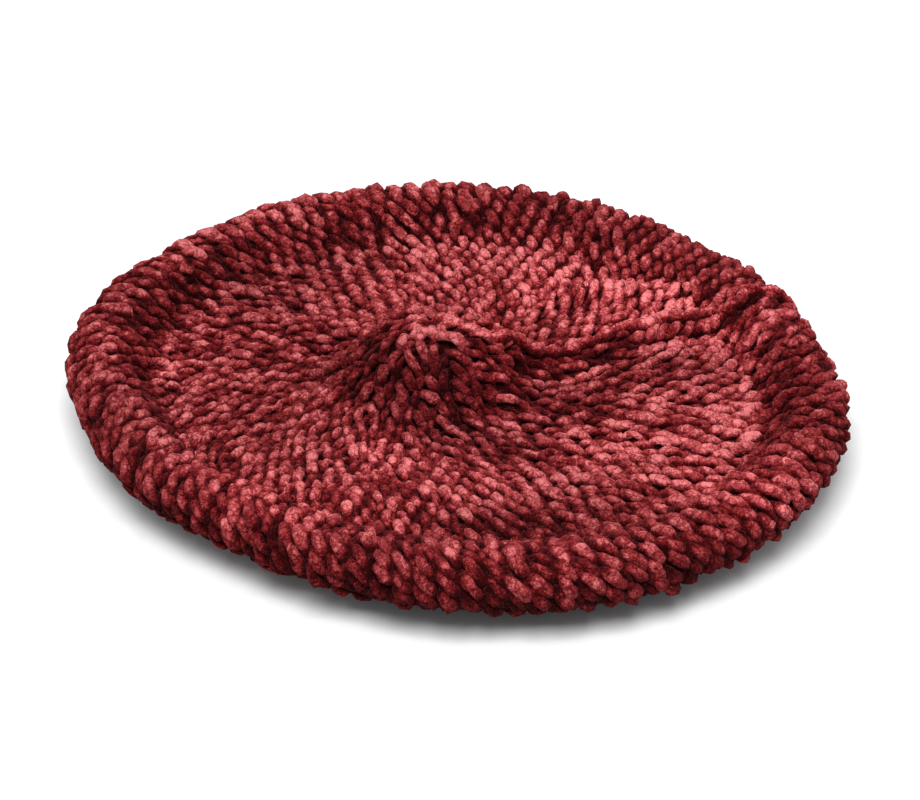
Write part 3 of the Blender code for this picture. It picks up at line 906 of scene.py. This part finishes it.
def yarn(name, path, radius, body, replaced, seed, material=SEAM_MAT,
         closed=False, sides=10, fluff=1.0, up=(0.03, 0.02, 1.0), pile=None):
    """A separate yarn along a fine path, tapered at open ends."""
    n = len(path)
    normal = np.tile(np.array(up, float) / np.linalg.norm(up), (n, 1))
    tangent = tangents(path, closed)
    normal = unit(normal - tangent * np.einsum("nk,nk->n", normal, tangent)[:, None])
    radii = np.broadcast_to(np.asarray(radius, float), (n,)).copy()
    if not closed:
        share = np.arange(n) / (n - 1)
        radii *= 0.45 + 0.55 * rise(np.minimum(share, 1 - share) * n, 0, 4.0)
    if pile:
        pile = tuple(np.full(n, value) for value in pile)
    chunk = tube_mesh(path, normal, radii, sides, seed, closed=closed, fluff=fluff,
                      depth=np.full(n, 0.0011), pile=pile)
    obj = add_mesh(name, [chunk], material, () if closed else ((0, n, sides),))
    attach(obj, body, replaced)
    return obj


def crown_at(x, y):
    """Meridian positions and angles of the crown points over x, y (inside the crest)."""
    grid = np.linspace(CREST_S, LENGTH, 260)
    found = []
    for xi, yi in zip(x, y):
        wanted = math.atan2(yi, xi)
        phi = np.full(len(grid), wanted)
        for _ in range(4):
            p = surface(grid, phi)
            phi = phi + wanted - np.arctan2(p[:, 1], p[:, 0])
        p = surface(grid, phi)
        j = int(np.argmin(np.hypot(p[:, 0] - xi, p[:, 1] - yi)))
        found.append((grid[j], phi[j]))
    return np.array(found)


def build_side_seam():
    """Fat overcast stitches: a raised rope from the knob to the rim."""
    line = rounded_path([(x, y, 0) for x, y in SEAM_PATH], 0.0005)[:, :2]
    line = line[int(0.07 * len(line)):]
    along = arc_length(line)
    coarse = resample(np.linspace(0, along[-1], 70), along, line)
    inner = np.hypot(coarse[:, 0] - RIM_SHIFT[0], coarse[:, 1] - RIM_SHIFT[1]) < 0.1225
    sheet = crown_at(coarse[inner, 0], coarse[inner, 1])
    # carry on over the rim at the last angle
    over = np.arange(sheet[-1, 0] - 0.002, OUTER_S - 0.004, -0.002)
    sheet = np.concatenate([sheet, np.c_[over, np.full(len(over), sheet[-1, 1])]])
    sheet = convolve(np.pad(sheet, ((2, 2), (0, 0)), "edge"), np.array([0.1, 0.2, 0.4, 0.2, 0.1]))
    base, normal = surface_frame(sheet[:, 0], sheet[:, 1])
    distance = arc_length(base)
    along = np.arange(0, distance[-1], 0.0005)
    base = resample(along, distance, base)
    normal = unit(resample(along, distance, normal))
    side = unit(np.cross(np.gradient(base, axis=0), normal))
    # one stitch every 8.6 mm, pinched between stitches
    beat = 2 * math.pi * along / 0.0086 + 0.8 * np.sin(along * 160)
    pinch = np.abs(np.sin(beat / 2)) ** 0.6
    fade = rise(along / along[-1], 0.45, 0.35)
    enter = rise(along, 0, 0.006)
    height = (0.0028 + 0.0009 * pinch - 0.0010 * fade) * enter - 0.0022 * (1 - enter)
    sway = 0.0010 * np.sin(beat / 2 + 0.5)
    rope = base + normal * height[:, None] + side * sway[:, None]
    radius = (0.00105 + 0.00150 * pinch) * (1 - 0.20 * fade)
    radius = radius * (1 + 0.22 * value_noise(rope, 0.007, 91))
    rope = rope + 0.0009 * vector_noise(rope, 0.008, 92)
    # the rope's pile values are painted light: set to the bright, top-lit end
    yarn("side_seam_rope", rope, radius, "crown", "crown_seam_yarn", seed=41, material=YARN_MAT,
         sides=12, pile=(0.98, 1.22))


def build_underside_seam():
    """The same seam under the rim, overcast against the underside, in two halves."""
    u = np.linspace(0, 1, 90)
    r = 0.1240 - 0.0300 * u
    spread = rim_share(r)
    zigzag = np.sin(u * 2 * math.pi * 7)
    c, s = math.cos(SEAM_ANGLE), math.sin(SEAM_ANGLE)
    x = (r + outline(SEAM_ANGLE) * spread) * c + RIM_SHIFT[0] * spread
    y = (r + outline(SEAM_ANGLE) * spread) * s + RIM_SHIFT[1] * spread
    x, y = x - s * 0.0012 * zigzag, y + c * 0.0012 * zigzag
    z = underside_height(r) - 0.0016 - 0.0006 * np.cos(u * 2 * math.pi * 14)
    line = np.c_[x, y, z]
    far = yarn("underside_seam_stitches_far", line[:49], 0.00135, None, "underside_seam_yarn",
               seed=43)
    near = yarn("underside_seam_stitches_near", line[46:], 0.00135, None, None, seed=44)
    # each half's transform is baked into its mesh; the bodies and radii listed are not used
    for piece, a, b, r0, r1 in ((far, "increase_row", "crown", 0.1023, 0.1401),
                                (near, "headband", "increase_row", 0.0800, 0.1130)):
        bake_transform(piece)


def build_cast_on():
    """Two plied strands along the open edge."""
    angle = circle(1000)
    strands = []
    for k in (0, 1):
        ply = angle * 46 + k * math.pi
        path = polar(CAST[0] + 0.00105 * np.cos(ply), angle, 0.00315 + 0.00095 * np.sin(ply))
        verts, quads, values = tube_mesh(path, np.tile([0.0, 0.0, 1.0], (len(angle), 1)),
                                         np.full(len(angle), 0.00150), 8, seed=51 + k, fluff=0.8,
                                         depth=np.full(len(angle), 0.0008))
        verts[:, 2] = np.maximum(verts[:, 2], 0.0002)
        strands.append((verts, quads, values))
    attach(add_mesh("cast_on_strands", strands, BAND_MAT), "headband", "cast_on_edge")


# directions (radius, height) up the band's slope, and square to it towards the axis
ALONG = np.array([BAND_HIGH[0] - BAND_LOW[0], BAND_HIGH[1] - BAND_LOW[1]])
BAND_WIDE = float(np.linalg.norm(ALONG))
ALONG /= BAND_WIDE
OFF = np.array([-ALONG[1], ALONG[0]])


def on_band(t, off):
    """Radius and height of a point t up the band's slope and off its centre line."""
    return BAND_LOW[0] + ALONG[0] * t + OFF[0] * off, BAND_LOW[1] + ALONG[1] * t + OFF[1] * off


def build_band_yarns():
    """Elastic thread, seam stitches and the tail of the cast-on, on the band's inner face."""
    angle = circle(700)
    r, z = on_band(BAND_WIDE * 0.45, 0.0028 + 0.0009)
    wave = 0.0007 * np.sin(35 * angle)
    yarn("elastic_thread", polar(r + OFF[0] * wave, angle, z + OFF[1] * wave), 0.00085,
         "headband", "band_elastic", seed=55, material=ELASTIC_MAT,
         closed=True, fluff=0.12)
    u = np.linspace(0, 1, 60)
    r, z = on_band(0.0006 + 0.0115 * u, 0.0046 + 0.0005 * np.cos(u * 2 * math.pi * 8))
    angle = SEAM_ANGLE + 0.016 * np.sin(u * 2 * math.pi * 4)
    yarn("band_seam_stitches", polar(r, angle, z), 0.00105, "headband", "band_seam_yarn", seed=57)
    r, z = on_band(0.0002 + 0.0072 * u, 0.0046 + 0.0006 * np.sin(u * 2 * math.pi * 3))
    angle = math.radians(20.5) + 0.06 * u + 0.012 * np.sin(u * 9)
    yarn("cast_on_tail_end", polar(r, angle, z), 0.00105, "headband", "cast_on_tail", seed=59)


def build_gather():
    """The gathered centre: drawn yarn, its knot and the loose tail inside."""
    a = circle(160)
    ring = polar(0.0016 + 0.0004 * np.sin(8 * a), a, 0.0455 + 0.0005 * np.cos(8 * a))
    yarn("gather_ring", ring + np.array([SHIFT_X + DRIFT[0], DRIFT[1], 0.0]), 0.00080, "crown",
         "gather_yarn", seed=61, closed=True)
    a = circle(220)
    # a trefoil knot
    knot = np.stack([np.sin(a) + 2 * np.sin(2 * a), np.cos(a) - 2 * np.cos(2 * a),
                     -np.sin(3 * a)], 1)
    knot = knot * np.array([0.00088, 0.00088, 0.0013]) + np.array([SHIFT_X, 0.0, 0.0325])
    yarn("gather_knot_yarn", knot, 0.00105, "crown", "gather_knot", seed=63, closed=True,
         up=(1.0, 0.3, 0.2))
    top_z = 0.02814
    tail = rounded_path([(SHIFT_X, 0, top_z), (SHIFT_X + 0.0006, 0, top_z - 0.004),
                         (SHIFT_X + 0.0016, 0.0005, top_z - 0.008),
                         (SHIFT_X + 0.0018, 0.0012, top_z - 0.0125)], 0.0003)
    yarn("gather_tail_end", tail, 0.00135, "gather_tail", "gather_tail", seed=65,
         up=(1.0, 0.2, 0.0))


build_side_seam()
build_underside_seam()
build_cast_on()
build_band_yarns()
build_gather()

# ------------------------------------------------------------------ label
# A blank folded ribbon hinged on the band at the back (+Y), hanging down its slope.
HINGE = np.array([0.0, *on_band(BAND_WIDE - 0.0008, 0.0051)])
DOWN = np.array([0.0, -ALONG[0], -ALONG[1]])
UP = np.array([0.0, OFF[0], OFF[1]])
LABEL_LONG, LABEL_WIDE, LABEL_THICK, PLY = 0.0130, 0.0220, 0.0014, 0.00042
RUN_POINTS, WIDTH_POINTS = 54, 34


def label_faces():
    """Quads of the two faces and the four edges of the ribbon."""
    n, sheet = RUN_POINTS, WIDTH_POINTS * RUN_POINTS
    faces = []
    for k in range(WIDTH_POINTS - 1):
        for i in range(n - 1):
            a = k * n + i
            b = sheet + a
            faces.append((a, a + 1, a + n + 1, a + n))
            faces.append((b, b + n, b + n + 1, b + 1))
    for i in range(n - 1):
        faces.append((i, sheet + i, sheet + i + 1, i + 1))
        e = (WIDTH_POINTS - 1) * n + i
        faces.append((e, e + 1, sheet + e + 1, sheet + e))
    for k in range(WIDTH_POINTS - 1):
        a = k * n
        faces.append((a, a + n, sheet + a + n, sheet + a))
        e = a + n - 1
        faces.append((e, sheet + e, sheet + e + n, e + n))
    return faces


def build_label():
    # the ribbon's middle line: down one ply, round the fold and back up the other
    run = LABEL_LONG - LABEL_THICK / 2
    fold_r = (LABEL_THICK - PLY) / 2
    fold = math.pi * (LABEL_THICK - PLY) / 2
    d = np.linspace(0, 1, RUN_POINTS) * (2 * run + fold)
    angle = np.clip((d - run) / fold, 0, 1) * math.pi

    def by_part(first, bend, second):
        return np.where(d < run, first, np.where(d > run + fold, second, bend))

    line_down = by_part(d, run + fold_r * np.sin(angle), run - (d - run - fold))
    line_up = by_part(-fold_r, -fold_r * np.cos(angle), fold_r)
    normal_down = by_part(0.0, np.sin(angle), 0.0)
    normal_up = by_part(-1.0, -np.cos(angle), 1.0)
    verts = []
    for face_out in (1, -1):
        for k, w in enumerate(np.linspace(-0.5, 0.5, WIDTH_POINTS)):
            curl = 0.00022 * math.sin(w * 9.0) + 0.0004 * (2 * w) ** 2
            stand = (line_up + normal_up * face_out * PLY / 2 + curl * (line_down / LABEL_LONG)
                     + 0.00012 * np.sin(line_down * 900 + k * 0.7))
            reach = line_down + normal_down * face_out * PLY / 2
            points = HINGE + reach[:, None] * DOWN + stand[:, None] * UP
            points[:, 0] = -w * LABEL_WIDE
            verts.append(points)
    mesh = bpy.data.meshes.new("label_ribbon")
    mesh.from_pydata(np.concatenate(verts).tolist(), [], label_faces())
    mesh.validate()
    bm = bmesh.new()
    bm.from_mesh(mesh)
    bmesh.ops.recalc_face_normals(bm, faces=bm.faces[:])
    if bm.calc_volume(signed=True) < 0:
        bmesh.ops.reverse_faces(bm, faces=bm.faces[:])
    bm.to_mesh(mesh)
    bm.free()
    attach(add_object("label_ribbon", mesh, LABEL_MAT), "label", "label")


def build_label_tack(name, way):
    """Five short threads beside one end of the label's hinge; way is the sign of their x."""
    u = np.linspace(0, 1, 16)
    chunks = []
    for k in range(5):
        path = (HINGE + DOWN * 0.0014 + DOWN * (u - 0.5)[:, None] * 0.0030
                + UP * 0.0008 * np.sin(math.pi * u)[:, None])
        x = way * (LABEL_WIDE / 2 + 0.0012) + (k - 2) * 0.00042
        path[:, 0] = x + 0.0002 * np.sin(3 * u + k)
        chunks.append(tube_mesh(path, np.tile(UP, (16, 1)), np.full(16, 0.00024), 6,
                                seed=70 + k, closed=False, fluff=0.05))
    tack = add_mesh(f"label_stitches_{name}", chunks, THREAD_MAT, [(k, 16, 6) for k in range(5)])
    attach(tack, "headband", f"label_tack_{name}")


build_label()
build_label_tack("left", 1)
build_label_tack("right", -1)


# ------------------------------------------------------------------ studio
def build_floor():
    bpy.ops.mesh.primitive_plane_add(size=8.0, location=(0, 0, 0))
    floor = bpy.context.object
    floor.name = "floor"
    material, _, bsdf = new_material("floor_paper")
    set_inputs(bsdf, {"Base Color": (0.53, 0.53, 0.535, 1), "Roughness": 0.85,
                      "Specular IOR Level": 0.1})
    floor.data.materials.append(material)


def build_world():
    """White light, brightest overhead and a little stronger from the back."""
    world = bpy.data.worlds.new("studio")
    world.use_nodes = True
    tree = world.node_tree
    sky = tree.nodes["Background"]
    coords = tree.nodes.new("ShaderNodeTexCoord")
    direction = separate_xyz(tree, coords.outputs["Generated"])
    overhead = remap(tree, direction["Z"], low=-0.05, high=0.85, to_low=0.42, to_high=1.30)
    behind = add_math(tree, "MULTIPLY", direction["Y"], 0.12)
    tree.links.new(add_math(tree, "ADD", overhead, behind), sky.inputs["Strength"])
    sky.inputs["Color"].default_value = (1.0, 1.0, 1.0, 1)
    bpy.context.scene.world = world


def aim(name, data, location, target):
    """An object at location that looks at target."""
    obj = bpy.data.objects.new(name, data)
    obj.location = location
    obj.rotation_euler = (target - location).to_track_quat("-Z", "Y").to_euler()
    bpy.context.scene.collection.objects.link(obj)
    return obj


def build_key_light():
    light = bpy.data.lights.new("key", "AREA")
    light.shape = "RECTANGLE"
    light.size = light.size_y = 0.65
    light.energy = 41.0
    aim("key", light, Vector((-0.06, -0.92, 1.25)), Vector((0, 0, 0.02)))


def build_camera():
    elevation, distance = math.radians(31.0), 1.2
    target = Vector((*RIM_SHIFT, 0.02))
    offset = Vector((0.0, -distance * math.cos(elevation), distance * math.sin(elevation)))
    camera = bpy.data.cameras.new("camera")
    camera.sensor_width = 36.0
    camera.lens = 129.9
    camera.shift_x, camera.shift_y = 0.0013, -0.0130
    camera.clip_start, camera.clip_end = 0.05, 50.0
    scene = bpy.context.scene
    obj = aim("camera", camera, target + offset, target)
    # the view direction is taken from the stored, single-precision location
    obj.rotation_euler = (target - obj.location).to_track_quat("-Z", "Y").to_euler()
    scene.camera = obj
    scene.view_settings.view_transform = "Standard"
    scene.view_settings.look = "None"


build_floor()
build_world()
build_key_light()
build_camera()
